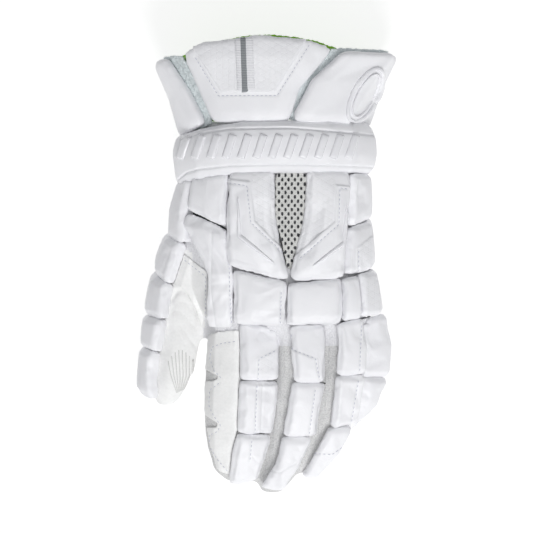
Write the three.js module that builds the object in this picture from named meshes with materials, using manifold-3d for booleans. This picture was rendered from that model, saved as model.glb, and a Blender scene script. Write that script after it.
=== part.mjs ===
// A padded glove for the left hand, lying palm down with its fingers towards -Y and its cuff towards +Y.
// The hand, four fingers and thumb are hollow sleeves. Foam pads are sewn to their backs, a padded band
// goes round the wrist, and a flared cuff of three pads stands beyond it. Sizes are in millimetres.
import * as THREE from "three";
import { mergeVertices } from "three/addons/utils/BufferGeometryUtils.js";
import Module from "manifold-3d";

const wasm = await Module();
wasm.setup();

// Driving sizes of the hand, the cuff and the thumb.
const HAND_LENGTH = 157; // wrist edge to the rounded front that the fingers leave
const HAND_WIDTH = 122; // across the sleeve at the band
const HAND_DEPTH = 54; // palm to back at the wrist
const PALM_CLEARANCE = 6; // the palm arches this far above the surface it lies on
const SIDE_SEAM_HEIGHT = 26; // where the palm leather meets the back lining
const CUFF_LENGTH = 62;
const CUFF_FLARE = 26; // how far each side of the rim stands out from the wrist
const CUFF_RISE = 14; // how much higher the rim is than the wrist
const THUMB_LENGTH = 139;
const THUMB_WIDTH = 32;
const THUMB_DEPTH = 32;

// Thicknesses.
const LEATHER = 2.2; // wall of the sleeves
const CUFF_LINING = 2.5;
const FLEECE = 3;
const HAND_PAD = 12;
const SIDE_PAD = 10;
const FINGER_PAD = 9;
const THUMB_PAD = 10;
const CUFF_PAD = 9;
const WING_PAD = 9;
const MESH = 4;
const OVERLAY = 1.2; // stitched-on panels and moulded accents
const BADGE = 2;

// Gaps.
const SEAM = 0.3; // between pieces that are sewn against each other
const FLEX_GAP = 0.6; // between neighbouring pads, so that the glove can bend
const SINK = 3; // a pad is drawn this far into its sleeve, and then cut back to it

// The band round the wrist.
const BAND_WIDTH = 37;
const BAND_THICKNESS = 13;
const BAND_DROP = 9; // it sits this much nearer the fingers at the thumb's side

const HAND_SQUARENESS = 2.5; // 2 is an ellipse, and more is squarer
const FINGER_SQUARENESS = 2.4;
const TALL = 4 * HAND_DEPTH; // higher than any piece
const HAND_FACETS = 20;
const FINGER_FACETS = 10;

// Each finger: how wide and deep its sleeve is, how long, and where its root lies.
const FINGERS = {
  index: { length: 121, width: 49, depth: 36, height: 27, roll: 8, tuck: 0 },
  middle: { length: 128, width: 32, depth: 31, height: 33, roll: 10, tuck: 0 },
  ring: { length: 113, width: 26, depth: 28, height: 33, roll: 18, tuck: 0 },
  little: { length: 80, width: 22, depth: 25, height: 15, roll: 48, tuck: 0.42 },
};
const FINGER_GAP = 0.8;
const FINGER_ROOT = 0.89; // the fingers start at this share of the hand's length
const FINGER_SHIFT = 0.11; // and are set off to the little finger's side by this share of its width

const WHITE = 0xf1f1f3;
const SUEDE = 0xebebea;
const GREY_KNIT = 0xb9b9b9;
const LIME = 0x8fc63d;
const DARK_GREY = 0x6f7377;

// Sections of the hand from the wrist to the front: sideways shift and width as shares of the hand's
// width, rise of the underside and depth as shares of its depth.
const HAND_ROWS = [
  { at: 0, shift: 0.01, width: 0.93, rise: 0, depth: 1 },
  { at: 0.12, shift: 0.01, width: 1, rise: 0, depth: 1 },
  { at: 0.26, shift: 0.01, width: 0.98, rise: 0, depth: 0.98 },
  { at: 0.42, shift: -0.01, width: 1.03, rise: 0, depth: 0.93 },
  { at: 0.58, shift: -0.01, width: 1.05, rise: 0.01, depth: 0.88 },
  { at: 0.74, shift: 0.03, width: 1.02, rise: 0.03, depth: 0.82 },
  { at: 0.89, shift: 0.08, width: 0.98, rise: 0.06, depth: 0.75 },
  { at: 0.95, shift: 0.1, width: 0.92, rise: 0.1, depth: 0.65 },
  { at: 1, shift: 0.13, width: 0.74, rise: 0.22, depth: 0.36 },
];

// Sections of the cuff from the wrist to the rim: what share of the flare and the rise is reached.
const CUFF_ROWS = [
  { at: 0, flare: 0, rise: 0 },
  { at: 0.35, flare: 0.3, rise: 0.3 },
  { at: 0.7, flare: 0.72, rise: 0.7 },
  { at: 1, flare: 1, rise: 1 },
];

// Sections of each finger from the root to the tip: sideways sway as a share of its length, drop of its
// middle as a share of its root height, width and depth as shares of its own.
const FINGER_ROWS = {
  index: [
    { at: 0, sway: 0, drop: 0, width: 0.98, depth: 1 },
    { at: 0.35, sway: -0.003, drop: 0.02, width: 1.06, depth: 0.97 },
    { at: 0.55, sway: -0.012, drop: 0.12, width: 1.05, depth: 0.93 },
    { at: 0.7, sway: -0.013, drop: 0.25, width: 1, depth: 0.9 },
    { at: 0.84, sway: -0.014, drop: 0.38, width: 0.89, depth: 0.84 },
    { at: 0.94, sway: 0.002, drop: 0.48, width: 0.66, depth: 0.7 },
    { at: 1, sway: 0.015, drop: 0.54, width: 0.28, depth: 0.32 },
  ],
  middle: [
    { at: 0, sway: 0, drop: 0, width: 1, depth: 1 },
    { at: 0.3, sway: 0.005, drop: 0.05, width: 1.1, depth: 1 },
    { at: 0.55, sway: -0.024, drop: 0.2, width: 1.06, depth: 0.97 },
    { at: 0.7, sway: -0.048, drop: 0.32, width: 0.98, depth: 0.94 },
    { at: 0.85, sway: -0.1, drop: 0.47, width: 0.83, depth: 0.9 },
    { at: 0.95, sway: -0.155, drop: 0.56, width: 0.66, depth: 0.76 },
    { at: 1, sway: -0.19, drop: 0.6, width: 0.26, depth: 0.34 },
  ],
  ring: [
    { at: 0, sway: 0, drop: 0, width: 1, depth: 1 },
    { at: 0.3, sway: 0.01, drop: 0.04, width: 1, depth: 1 },
    { at: 0.55, sway: -0.04, drop: 0.18, width: 1, depth: 1 },
    { at: 0.7, sway: -0.075, drop: 0.32, width: 0.97, depth: 0.98 },
    { at: 0.85, sway: -0.14, drop: 0.47, width: 0.9, depth: 0.93 },
    { at: 0.95, sway: -0.225, drop: 0.57, width: 0.7, depth: 0.78 },
    { at: 1, sway: -0.275, drop: 0.62, width: 0.28, depth: 0.36 },
  ],
  little: [
    { at: 0, sway: -0.03, drop: -0.2, width: 0.98, depth: 1 },
    { at: 0.3, sway: 0.02, drop: 0, width: 1, depth: 1 },
    { at: 0.55, sway: -0.01, drop: 0.04, width: 0.98, depth: 1 },
    { at: 0.75, sway: -0.1, drop: 0.08, width: 0.9, depth: 0.95 },
    { at: 0.92, sway: -0.22, drop: 0.13, width: 0.66, depth: 0.75 },
    { at: 1, sway: -0.29, drop: 0.17, width: 0.32, depth: 0.42 },
  ],
};

// Sections of the thumb: sideways place as a share of the hand's width, and its middle's height as a
// share of its width. Its back faces the thumb's side of the glove, so its depth lies along X.
const THUMB_ROWS = [
  { at: 0, out: -0.36, height: 1.0, width: 0.9, depth: 0.8 },
  { at: 0.2, out: -0.46, height: 0.8, width: 1, depth: 0.9 },
  { at: 0.4, out: -0.53, height: 0.62, width: 1, depth: 0.95 },
  { at: 0.58, out: -0.56, height: 0.55, width: 1.02, depth: 1.02 },
  { at: 0.74, out: -0.58, height: 0.5, width: 1, depth: 1 },
  { at: 0.88, out: -0.62, height: 0.47, width: 0.88, depth: 0.85 },
  { at: 0.96, out: -0.64, height: 0.44, width: 0.64, depth: 0.6 },
  { at: 1, out: -0.65, height: 0.42, width: 0.32, depth: 0.3 },
];
const THUMB_START = 0.42; // share of the hand's length
const THUMB_ROLL = -62;

// A smooth curve through one column of a table whose rows are in order of "at".
function column(rows, name) {
  return (at) => {
    let i = 0;
    while (i < rows.length - 2 && at > rows[i + 1].at) i++;
    const [b, c] = [rows[i], rows[i + 1]];
    const [a, d] = [rows[Math.max(i - 1, 0)], rows[Math.min(i + 2, rows.length - 1)]];
    const span = c.at - b.at;
    const t = THREE.MathUtils.clamp((at - b.at) / span, 0, 1);
    const slopeIn = ((c[name] - a[name]) / (c.at - a.at)) * span;
    const slopeOut = ((d[name] - b[name]) / (d.at - b.at)) * span;
    const rise = c[name] - b[name];
    const curve = 3 * rise - 2 * slopeIn - slopeOut;
    return b[name] + t * (slopeIn + t * (curve + t * (slopeIn + slopeOut - 2 * rise)));
  };
}

// The point of an oval section at a share of half its girth, from 0 at the back to 1 or -1 at the palm,
// and the direction that faces outwards there.
function ovalPoint(across, halfWidth, halfDepth, squareness) {
  const power = 2 / squareness;
  const steps = 60;
  const place = (angle) => {
    const c = Math.cos(angle);
    const depth = halfDepth * Math.sign(c) * Math.abs(c) ** power;
    return new THREE.Vector2(halfWidth * Math.sin(angle) ** power, depth);
  };
  const run = [0];
  for (let i = 1; i <= steps; i++) {
    const [p, q] = [place(((i - 1) / steps) * Math.PI), place((i / steps) * Math.PI * 0.999999)];
    run.push(run[i - 1] + p.distanceTo(q));
  }
  const wanted = Math.min(Math.abs(across), 1) * run[steps];
  let i = 1;
  while (i < steps && run[i] < wanted) i++;
  const angle = ((i - 1 + (wanted - run[i - 1]) / (run[i] - run[i - 1])) / steps) * Math.PI * 0.999999;
  const [s, c] = [Math.sin(angle), Math.cos(angle)];
  const point = place(angle);
  const rise = (Math.sign(c) * Math.abs(c) ** (2 - power)) / halfDepth;
  const normal = new THREE.Vector2(s ** (2 - power) / halfWidth, rise);
  normal.normalize();
  if (across < 0) [point.x, normal.x] = [-point.x, -normal.x];
  return { point, normal };
}

// A limb is a sleeve with a chart on it: point(across, along, lift) is the place at a share of half the
// girth, a share of the length and a height above the surface.
function makeLimb(frameAt, length, squareness) {
  return {
    length,
    point(across, along, lift) {
      const { middle, side, back, halfWidth, halfDepth } = frameAt(along);
      const { point, normal } = ovalPoint(across, halfWidth, halfDepth, squareness);
      const placed = middle.clone();
      placed.addScaledVector(side, point.x + normal.x * lift);
      placed.addScaledVector(back, point.y + normal.y * lift);
      return placed;
    },
  };
}

// A frame that keeps its sections upright, for the hand and the cuff.
function uprightFrame(middle, halfWidth, halfDepth) {
  const [side, back] = [new THREE.Vector3(1, 0, 0), new THREE.Vector3(0, 0, 1)];
  return { middle, side, back, halfWidth, halfDepth };
}

// A frame square to a centre line, rolled about it by an angle in degrees.
function rolledFrame(centreLine, along, roll, halfWidth, halfDepth) {
  const step = 0.01;
  const middle = centreLine(along);
  const tangent = centreLine(along + step).sub(centreLine(along - step)).normalize();
  const back = new THREE.Vector3(0, 0, 1).projectOnPlane(tangent).normalize();
  back.applyAxisAngle(tangent, THREE.MathUtils.degToRad(-roll));
  return { middle, side: back.clone().cross(tangent), back, halfWidth, halfDepth };
}

function makeHand() {
  const names = ["shift", "width", "rise", "depth"];
  const [shift, width, rise, depth] = names.map((name) => column(HAND_ROWS, name));
  const frameAt = (along) => {
    const halfDepth = (depth(along) * HAND_DEPTH) / 2;
    const height = PALM_CLEARANCE + rise(along) * HAND_DEPTH + halfDepth;
    const middle = new THREE.Vector3(shift(along) * HAND_WIDTH, -along * HAND_LENGTH, height);
    return uprightFrame(middle, (width(along) * HAND_WIDTH) / 2, halfDepth);
  };
  return makeLimb(frameAt, HAND_LENGTH, HAND_SQUARENESS);
}

function makeCuff() {
  const [flare, rise] = ["flare", "rise"].map((name) => column(CUFF_ROWS, name));
  const wrist = HAND_ROWS[0];
  const frameAt = (along) => {
    const halfDepth = (HAND_DEPTH * wrist.depth + rise(along) * CUFF_RISE * 1.5) / 2;
    const top = PALM_CLEARANCE + HAND_DEPTH * wrist.depth + rise(along) * CUFF_RISE;
    const middle = new THREE.Vector3(wrist.shift * HAND_WIDTH, along * CUFF_LENGTH, top - halfDepth);
    return uprightFrame(middle, (wrist.width * HAND_WIDTH) / 2 + flare(along) * CUFF_FLARE, halfDepth);
  };
  return makeLimb(frameAt, CUFF_LENGTH, HAND_SQUARENESS);
}

// The finger roots lie side by side across the front of the hand, the little finger partly under.
function fingerRoots() {
  const front = FINGER_SHIFT * HAND_WIDTH;
  const sizes = Object.values(FINGERS);
  const total = sizes.reduce((sum, size) => sum + size.width * (1 - size.tuck) + FINGER_GAP, -FINGER_GAP);
  let edge = front - total / 2;
  return Object.fromEntries(
    Object.entries(FINGERS).map(([name, size]) => {
      const centre = edge + size.width * (0.5 - size.tuck);
      edge += size.width * (1 - size.tuck) + FINGER_GAP;
      return [name, centre];
    }),
  );
}

function makeFinger(name, rootX) {
  const size = FINGERS[name];
  const rows = FINGER_ROWS[name];
  const [sway, drop, width, depth] = ["sway", "drop", "width", "depth"].map((title) => column(rows, title));
  const rootY = -FINGER_ROOT * HAND_LENGTH;
  const centreLine = (along) =>
    new THREE.Vector3(
      rootX + sway(along) * size.length,
      rootY - along * size.length,
      size.height * (1 - drop(along)),
    );
  const frameAt = (along) => {
    const [halfWidth, halfDepth] = [(width(along) * size.width) / 2, (depth(along) * size.depth) / 2];
    return rolledFrame(centreLine, along, size.roll, halfWidth, halfDepth);
  };
  return makeLimb(frameAt, size.length, FINGER_SQUARENESS);
}

function makeThumb() {
  const names = ["out", "height", "width", "depth"];
  const [out, height, width, depth] = names.map((name) => column(THUMB_ROWS, name));
  const rootY = -THUMB_START * HAND_LENGTH;
  const centreLine = (along) =>
    new THREE.Vector3(out(along) * HAND_WIDTH, rootY - along * THUMB_LENGTH, height(along) * THUMB_WIDTH);
  const frameAt = (along) => {
    const [halfWidth, halfDepth] = [(width(along) * THUMB_WIDTH) / 2, (depth(along) * THUMB_DEPTH) / 2];
    return rolledFrame(centreLine, along, THUMB_ROLL, halfWidth, halfDepth);
  };
  return makeLimb(frameAt, THUMB_LENGTH, FINGER_SQUARENESS);
}

// A closed geometry as a solid. A geometry whose faces point inwards is turned round.
function toSolid(geometry) {
  const bare = new THREE.BufferGeometry().copy(geometry);
  bare.deleteAttribute("normal");
  bare.deleteAttribute("uv");
  const merged = mergeVertices(bare, 1e-3);
  const vertProperties = merged.attributes.position.array;
  const make = (triVerts) => new wasm.Manifold(new wasm.Mesh({ numProp: 3, vertProperties, triVerts }));
  const triangles = new Uint32Array(merged.index.array);
  const solid = make(triangles);
  return solid.volume() > 0 ? solid : make(triangles.slice().reverse());
}

// A closed skin over a run of sections that have the same number of points. Each end is a fan or, for a
// section that arches, a ladder across it. The ends of a ring are joined to each other.
function loft(sections, ends = "fan") {
  const ring = ends === "ring";
  const count = sections[0].length;
  const last = sections.length - 1;
  const points = sections.flat();
  const faces = [];
  for (let i = 0; i < last + (ring ? 1 : 0); i++) {
    const [p, q] = [i * count, ((i + 1) % (last + 1)) * count];
    for (let j = 0; j < count; j++) {
      const k = (j + 1) % count;
      faces.push(p + j, p + k, q + k, p + j, q + k, q + j);
    }
  }
  if (ends === "fan") {
    const sum = (section) => section.reduce((total, p) => total.add(p), new THREE.Vector3());
    const middle = (section) => sum(section).divideScalar(count);
    points.push(middle(sections[0]), middle(sections[last]));
    for (let j = 0; j < count; j++) {
      const k = (j + 1) % count;
      faces.push(points.length - 2, k, j);
      faces.push(points.length - 1, last * count + j, last * count + k);
    }
  }
  for (let j = 0; j < count / 2 - 1 && ends === "ladder"; j++) {
    const [k, l, m] = [j + 1, count - 2 - j, count - 1 - j];
    faces.push(m, l, k, m, k, j);
    faces.push(...[j, k, l, j, l, m].map((n) => last * count + n));
  }
  const geometry = new THREE.BufferGeometry().setFromPoints(points);
  geometry.setIndex(faces);
  return toSolid(geometry);
}

function toGeometry(solid) {
  const mesh = solid.getMesh();
  const geometry = new THREE.BufferGeometry();
  geometry.setAttribute("position", new THREE.BufferAttribute(mesh.vertProperties, 3));
  geometry.setIndex(new THREE.BufferAttribute(mesh.triVerts, 1));
  geometry.computeVertexNormals();
  return geometry;
}

// A box that fills the space between two heights. It presses flat what lies on the ground.
function slab(low, high) {
  const reach = 4 * (HAND_LENGTH + HAND_WIDTH);
  const box = new THREE.BoxGeometry(reach, reach, high - low);
  box.translate(0, 0, (low + high) / 2);
  return toSolid(box);
}

// A filled solid of a limb's form between two shares of its length, grown or shrunk by a lift. Its rings
// lie closer together towards the tip, which is rounder.
function limbSolid(limb, facets, from, to, lift, rings) {
  const sections = [];
  for (let i = 0; i <= rings; i++) {
    const along = THREE.MathUtils.lerp(to, from, (1 - i / rings) ** 1.5);
    const section = [];
    for (let j = 0; j < facets; j++) section.push(limb.point(((j + 0.5) / facets) * 2 - 1, along, lift));
    sections.push(section);
  }
  return loft(sections);
}

// Shares from -1 to 1 that lie closer together near the ends, where a pad's edge is rounded.
function spread(cells) {
  return Array.from({ length: cells + 1 }, (_, i) => {
    const share = Math.sin((i / cells - 0.5) * Math.PI);
    return Math.sign(share) * Math.abs(share) ** 0.55;
  });
}

// The place in a limb's chart of the point (a, b) of an outline, each from -1 to 1. The outline is a list
// of rows, and each row is its left and right corner as [across, along].
function outlinePlace(rows, a, b) {
  const reach = THREE.MathUtils.clamp(((b + 1) / 2) * (rows.length - 1), 0, rows.length - 1);
  const i = Math.min(Math.floor(reach), rows.length - 2);
  const t = reach - i;
  const corner = (side, axis) => THREE.MathUtils.lerp(rows[i][side][axis], rows[i + 1][side][axis], t);
  const mix = (axis) => THREE.MathUtils.lerp(corner(0, axis), corner(1, axis), (a + 1) / 2);
  return [mix(0), mix(1)];
}

// A stuffed pad on a limb. It is thickest in its middle and rounded at its corners, and a gap runs round
// it. Its underside is flat or arches with the limb. Grown by a little, it is the space that its
// neighbours keep clear of.
function padSolid(pad, grow = 0) {
  const { limb, rows, thickness, gap = FLEX_GAP, cells = [4, 4], edge = 0.66, corner = 20, bow = 0 } = pad;
  const { base = 0, sink = SINK, arched = false } = pad;
  const at = (a, b) => limb.point(...outlinePlace(rows, a, b), base);
  const inset = gap - 2 * grow;
  const narrow = 1 - inset / at(-1, 0).distanceTo(at(1, 0));
  const short = 1 - inset / at(0, -1).distanceTo(at(0, 1));
  const size = (a, b) => (Math.abs(a) ** corner + Math.abs(b) ** corner) ** (1 / corner);
  const sections = spread(cells[1]).map((b) => {
    const place = (a, lift) => {
      const reach = Math.max(Math.abs(a), Math.abs(b));
      const rounding = reach ? reach / size(a, b) : 1;
      const [across, along] = outlinePlace(rows, a * rounding * narrow, b * rounding * short);
      return limb.point(across, along + bow * Math.max(b, 0) * (1 - a * a), lift);
    };
    const top = spread(cells[0]).map((a) => {
      const reach = Math.min(Math.max(Math.abs(a), Math.abs(b)), 1);
      const swell = edge + (1 - edge) * Math.sqrt(1 - reach ** 6);
      return place(a, base + thickness * swell + grow);
    });
    const under = spread(cells[0]).map((a) => place(a, base - sink - grow));
    return arched ? [...top, ...under.reverse()] : [under[0], ...top, under[cells[0]]];
  });
  return loft(sections, arched ? "ladder" : "fan").intersect(slab(0, TALL));
}

const hand = makeHand();
const cuff = makeCuff();
const roots = fingerRoots();
const fingers = {};
for (const name of Object.keys(FINGERS)) fingers[name] = makeFinger(name, roots[name]);
const thumb = makeThumb();

// Filled forms of the sleeves, their hollows, and the space that a sewn-on piece keeps clear of.
const HAND_RINGS = 9;
const FINGER_RINGS = 8;
const HOLLOW_FACETS = 9; // the hollows are plainer than the outsides
const HOLLOW_RINGS = 6;
const handForm = limbSolid(hand, HAND_FACETS, 0, 1, 0, HAND_RINGS);
const handEnd = 1 - LEATHER / HAND_LENGTH;
const handHollow = limbSolid(hand, HOLLOW_FACETS * 2, -0.1, handEnd, -LEATHER, HOLLOW_RINGS);
const handClear = limbSolid(hand, HAND_FACETS, 0, 1 + SEAM / HAND_LENGTH, SEAM, HAND_RINGS);

function sleeveForms(limb) {
  const wall = LEATHER / limb.length;
  const hollow = limbSolid(limb, HOLLOW_FACETS, -0.15, 1 - wall, -LEATHER, HOLLOW_RINGS);
  return {
    form: limbSolid(limb, FINGER_FACETS, 0, 1, 0, FINGER_RINGS).intersect(slab(0, TALL)),
    hollow: hollow.intersect(slab(LEATHER, TALL)),
    clear: limbSolid(limb, FINGER_FACETS, 0, 1 + SEAM / limb.length, SEAM, FINGER_RINGS),
  };
}

const fingerForms = {};
for (const [name, limb] of Object.entries(fingers)) fingerForms[name] = sleeveForms(limb);
const thumbForms = sleeveForms(thumb);
const glove = new THREE.Group();

function addPiece(name, solid, color, roughness = 0.6) {
  const material = new THREE.MeshStandardMaterial({ color, roughness, metalness: 0 });
  const mesh = new THREE.Mesh(toGeometry(solid), material);
  mesh.name = name;
  glove.add(mesh);
}

// A solid without the crumbs and slivers that cutting it may leave.
function largestPart(solid) {
  return solid.simplify(0.1).decompose().sort((a, b) => b.volume() - a.volume())[0];
}

// What is already in place, grown by a seam. A new piece is cut back to it.
const inPlace = [];

function fit(solid) {
  const cut = inPlace.reduce((left, clear) => left.subtract(clear), solid);
  return largestPart(cut);
}

function addSleeves() {
  const hollows = [thumbForms, ...Object.values(fingerForms)].map((forms) => forms.hollow);
  const shell = hollows.reduce((left, hollow) => left.subtract(hollow), handForm.subtract(handHollow));
  addPiece("palm_leather", largestPart(shell.intersect(slab(0, SIDE_SEAM_HEIGHT - SEAM / 2))), SUEDE, 0.85);
  addPiece("back_lining", largestPart(shell.intersect(slab(SIDE_SEAM_HEIGHT + SEAM / 2, TALL))), WHITE, 0.8);
  inPlace.push(handClear);
  addPiece("thumb_sleeve", fit(thumbForms.form.subtract(thumbForms.hollow)), SUEDE, 0.85);
  inPlace.push(thumbForms.clear);
  for (const [name, forms] of Object.entries(fingerForms)) {
    addPiece(name + "_sleeve", fit(forms.form.subtract(forms.hollow)), GREY_KNIT, 0.9);
    inPlace.push(forms.clear);
  }
}

// How much of the band's drop towards the fingers is reached round the wrist.
const BAND_ROWS = [
  { at: -1, drop: 0.4 },
  { at: -0.75, drop: 0.8 },
  { at: -0.5, drop: 1 },
  { at: -0.32, drop: 0.45 },
  { at: -0.15, drop: 0.05 },
  { at: 0.5, drop: 0 },
  { at: 1, drop: 0.4 },
];
const BAND_START = 0.008; // share of the hand's length where the band's upper edge lies

// The padded band is a closed ring round the wrist, pressed flat where the glove lies on it.
function bandSolid(grow = 0) {
  const drop = column(BAND_ROWS, "drop");
  const facets = HAND_FACETS;
  const sections = Array.from({ length: facets }, (_, i) => {
    const across = ((i + 0.5) / facets) * 2 - 1;
    const start = BAND_START * HAND_LENGTH + drop(across) * BAND_DROP - grow;
    const width = BAND_WIDTH + 2 * grow;
    const place = (reach, lift) => hand.point(across, (start + reach * width) / HAND_LENGTH, lift);
    const top = [0.02, 0.12, 0.35, 0.65, 0.88, 0.98].map((reach) => {
      const swell = 0.45 + 0.55 * Math.sqrt(1 - Math.abs(2 * reach - 1) ** 4);
      return place(reach, BAND_THICKNESS * swell + grow);
    });
    return [place(0, -SINK), ...top, place(1, -SINK)];
  });
  return loft(sections, "ring").intersect(slab(0, TALL));
}

function addBand() {
  addPiece("wrist_band", fit(bandSolid()), WHITE, 0.5);
  inPlace.push(bandSolid(SEAM));
}

// The lining of the cuff is a sheet that goes most of the way round. Its upper edge is highest over the
// back of the hand.
const LINING_ROWS = [
  { at: -0.82, top: 0.5 },
  { at: -0.6, top: 0.7 },
  { at: -0.42, top: 0.69 },
  { at: -0.32, top: 0.8 },
  { at: -0.06, top: 0.965 },
  { at: 0.19, top: 0.87 },
  { at: 0.28, top: 0.74 },
  { at: 0.5, top: 0.74 },
  { at: 0.65, top: 0.71 },
  { at: 0.82, top: 0.5 },
];

function liningSolid(outside, inside, grow = 0) {
  const top = column(LINING_ROWS, "top");
  const [first, last] = [LINING_ROWS[0].at, LINING_ROWS[LINING_ROWS.length - 1].at];
  const start = (SEAM - grow) / CUFF_LENGTH;
  const strips = 22;
  const sections = Array.from({ length: strips + 1 }, (_, i) => {
    const across = THREE.MathUtils.lerp(first, last, i / strips);
    const end = top(across) + grow / CUFF_LENGTH;
    const stops = [start, 0.35 * end, 0.7 * end, end];
    const outer = stops.map((along) => cuff.point(across, along, outside));
    const inner = stops.map((along) => cuff.point(across, along, inside));
    return [...outer, ...inner.reverse()];
  });
  return loft(sections);
}

function addLining() {
  const lining = liningSolid(0, -CUFF_LINING).intersect(slab(0, TALL));
  addPiece("cuff_lining", fit(lining), LIME, 0.9);
  inPlace.push(liningSolid(SEAM, -3 * SINK, SEAM));
}

// The outlines of the pads on the hand. Each row is a pad's left and right corner as [across, along]: the
// share of half the girth, from the middle of the back, and the share of the hand's length.
const BACK_PADS = {
  back_pad_thumb: [
    [[-0.215, 0.235], [0, 0.235]],
    [[-0.205, 0.38], [0, 0.38]],
    [[-0.2, 0.51], [0.033, 0.52]],
    [[-0.21, 0.66], [0.055, 0.73]],
  ],
  back_pad_little: [
    [[0.15, 0.235], [0.347, 0.235]],
    [[0.163, 0.4], [0.35, 0.4]],
    [[0.143, 0.52], [0.346, 0.52]],
    [[0.062, 0.73], [0.313, 0.715]],
  ],
  knuckle_pad_thumb: [
    [[-0.2, 0.68], [0.042, 0.738]],
    [[-0.23, 0.8], [0.018, 0.8]],
    [[-0.28, 0.925], [-0.024, 0.935]],
  ],
  knuckle_pad_little: [
    [[0.05, 0.745], [0.3, 0.722]],
    [[0.026, 0.81], [0.287, 0.81]],
    [[-0.012, 0.935], [0.265, 0.925]],
  ],
  knuckle_pad_small: [
    [[0.308, 0.722], [0.38, 0.71]],
    [[0.295, 0.8], [0.375, 0.8]],
    [[0.275, 0.915], [0.366, 0.9]],
  ],
};
const SIDE_PADS = {
  knuckle_side_pad: [
    [[0.388, 0.705], [0.53, 0.675]],
    [[0.374, 0.895], [0.53, 0.88]],
  ],
  little_side_pad_upper: [
    [[0.355, 0.245], [0.56, 0.245]],
    [[0.357, 0.488], [0.56, 0.42]],
  ],
  little_side_pad_lower: [
    [[0.355, 0.495], [0.56, 0.43]],
    [[0.322, 0.705], [0.55, 0.665]],
  ],
  thumb_side_pad_upper: [
    [[-0.39, 0.24], [-0.222, 0.24]],
    [[-0.39, 0.405], [-0.208, 0.49]],
  ],
  thumb_side_pad_lower: [
    [[-0.395, 0.415], [-0.204, 0.5]],
    [[-0.42, 0.57], [-0.207, 0.6]],
    [[-0.325, 0.7], [-0.21, 0.7]],
    [[-0.36, 0.81], [-0.24, 0.81]],
    [[-0.43, 0.945], [-0.305, 0.945]],
  ],
  thumb_wall_pad: [
    [[-0.57, 0.255], [-0.392, 0.255]],
    [[-0.58, 0.53], [-0.4, 0.56]],
  ],
};
const MESH_WINDOW = [
  [[0.003, 0.235], [0.152, 0.235]],
  [[0.004, 0.42], [0.162, 0.42]],
  [[0.03, 0.52], [0.146, 0.52]],
  [[0.062, 0.68], [0.092, 0.68]],
];

// The outlines of the pads on the fingers and the thumb, as shares of each finger's girth and length.
const FINGER_PADS = {
  index: [
    [[[-0.05, 0.045], [0.335, 0.045]], [[-0.04, 0.2], [0.325, 0.2]], [[-0.04, 0.37], [0.32, 0.37]]],
    [[[-0.04, 0.373], [0.325, 0.373]], [[-0.04, 0.5], [0.32, 0.5]], [[-0.05, 0.66], [0.29, 0.68]]],
    [[[-0.05, 0.665], [0.285, 0.685]], [[-0.11, 0.8], [0.24, 0.82]], [[-0.23, 0.97], [0.16, 0.975]]],
  ],
  middle: [
    [[[-0.16, 0.055], [0.26, 0.05]], [[-0.145, 0.19], [0.24, 0.19]], [[-0.115, 0.35], [0.24, 0.345]]],
    [[[-0.13, 0.353], [0.25, 0.348]], [[-0.14, 0.5], [0.24, 0.49]], [[-0.16, 0.65], [0.24, 0.63]]],
    [[[-0.16, 0.655], [0.2, 0.635]], [[-0.13, 0.82], [0.15, 0.785]], [[-0.16, 0.975], [0.11, 0.925]]],
  ],
  ring: [
    [[[-0.15, 0.05], [0.18, 0.015]], [[-0.155, 0.2], [0.225, 0.19]], [[-0.16, 0.36], [0.23, 0.335]]],
    [[[-0.16, 0.365], [0.24, 0.34]], [[-0.115, 0.515], [0.27, 0.48]], [[-0.085, 0.665], [0.285, 0.62]]],
    [[[-0.09, 0.67], [0.22, 0.64]], [[-0.11, 0.83], [0.18, 0.785]], [[0.02, 0.985], [0.14, 0.95]]],
  ],
  little: [
    [[[-0.31, 0.02], [0.2, 0.02]], [[-0.31, 0.28], [0.2, 0.28]], [[-0.3, 0.545], [0.2, 0.5]]],
    [[[-0.3, 0.55], [0.2, 0.505]], [[-0.3, 0.7], [0.17, 0.7]], [[-0.3, 0.93], [0.07, 0.94]]],
  ],
};
const THUMB_PADS = {
  thumb_pad_1: [[[-0.28, 0.165], [0.19, 0.165]], [[-0.28, 0.342], [0.19, 0.366]]],
  thumb_pad_2: [[[-0.28, 0.346], [0.19, 0.37]], [[-0.28, 0.545], [0.19, 0.55]]],
  thumb_pad_3: [[[-0.28, 0.55], [0.19, 0.555]], [[-0.27, 0.71], [0.15, 0.725]]],
  thumb_tip_pad: [
    [[-0.27, 0.716], [0.14, 0.73]],
    [[-0.26, 0.85], [0.14, 0.85]],
    [[-0.22, 0.97], [0.2, 0.97]],
  ],
};

// The outlines on the cuff, as shares of its girth and of its length from the wrist.
const CUFF_CENTER = [
  [[-0.31, -0.04], [0.07, -0.04]],
  [[-0.335, 0.35], [0.108, 0.35]],
  [[-0.345, 0.8], [0.225, 0.84]],
];
const CUFF_INSET = [
  [[-0.235, 0.36], [0.005, 0.37]],
  [[-0.29, 0.82], [0.11, 0.9]],
];
const CUFF_TAPE = [
  [[-0.185, 0.375], [-0.095, 0.375]],
  [[-0.145, 0.955], [-0.075, 0.955]],
];
const CUFF_STRIPE = [
  [[-0.143, 0.345], [-0.115, 0.345]],
  [[-0.124, 0.965], [-0.103, 0.965]],
];
const THUMB_WING = [
  [[-0.6, -0.3], [-0.34, -0.05]],
  [[-0.62, 0.67], [-0.41, 0.7]],
];
const THUMB_WING_FLEECE = [
  [[-0.6, -0.28], [-0.315, -0.04]],
  [[-0.62, 0.72], [-0.355, 0.74]],
];
const LITTLE_WING = [
  [[0.085, -0.02], [0.6, -0.12]],
  [[0.116, 0.3], [0.62, 0.3]],
  [[0.19, 0.6], [0.62, 0.58]],
  [[0.25, 0.775], [0.6, 0.76]],
];
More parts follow.
